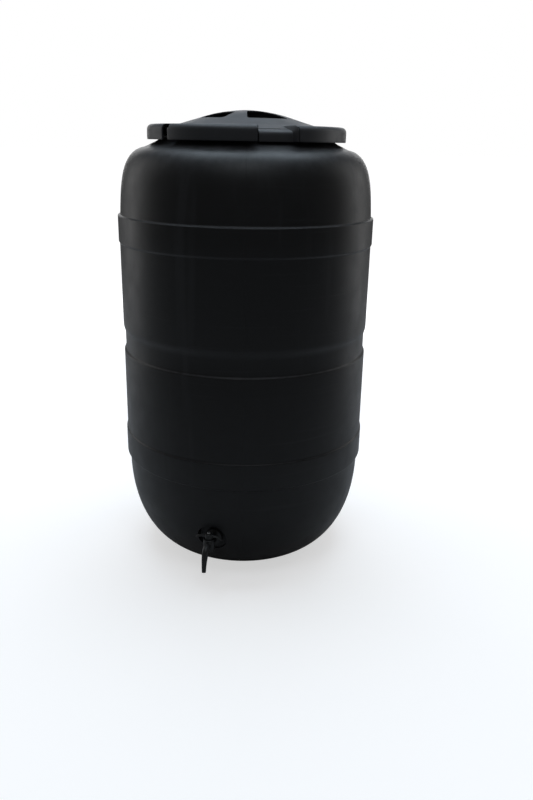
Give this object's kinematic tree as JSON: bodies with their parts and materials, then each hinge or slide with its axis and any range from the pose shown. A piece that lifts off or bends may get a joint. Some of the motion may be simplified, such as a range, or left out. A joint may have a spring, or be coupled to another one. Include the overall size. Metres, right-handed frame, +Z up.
{
  "type": "rain barrel",
  "caption": "Tall round plastic rain barrel with raised hoops, a twist-lock lid with a handle arch and a small plug tap low on the front.",
  "frame": {"origin": "centre of the flat base, on the barrel's axis, at the surface it stands on", "axes": "+Z up along the barrel's axis, the tap points along -Y, +X to the right seen from the tap"},
  "size_m": [0.5812, 0.6233, 1.037],
  "materials": {
    "barrel_plastic": "satin black polyethylene",
    "lid_plastic": "satin slate black",
    "tap_plastic": "satin black",
    "rubber": "matt black",
    "screw_steel": "zinc plated"
  },
  "bodies": {
    "barrel": {"barrel_shell": "barrel_plastic", "tap_body": "tap_plastic", "tap_flange_washer": "rubber", "tap_inner_washer": "rubber", "tap_back_nut": "tap_plastic"},
    "lid_lift": {"lid_seal": "rubber"},
    "lid": {"lid_cover": "lid_plastic", "lid_pan": "lid_plastic"},
    "tap_key": {"tap_plug": "tap_plastic", "tap_handle": "tap_plastic", "handle_screw": "screw_steel", "plug_o_ring_upper": "rubber", "plug_o_ring_lower": "rubber"}
  },
  "joints": [
    {"name": "lid_lift_off", "type": "slide", "parent": "barrel", "child": "lid_lift", "axis": [0, 0, 1], "range_m": [0, 0.2]},
    {"name": "lid_twist", "type": "hinge", "parent": "lid_lift", "child": "lid", "pos_m": [0, 0, 0.99], "axis": [0, 0, 1], "range_deg": [-26, 0]},
    {"name": "tap_turn", "type": "hinge", "parent": "barrel", "child": "tap_key", "pos_m": [0, -0.288, 0.112], "axis": [0, 0, 1], "range_deg": [0, 90]}
  ]
}
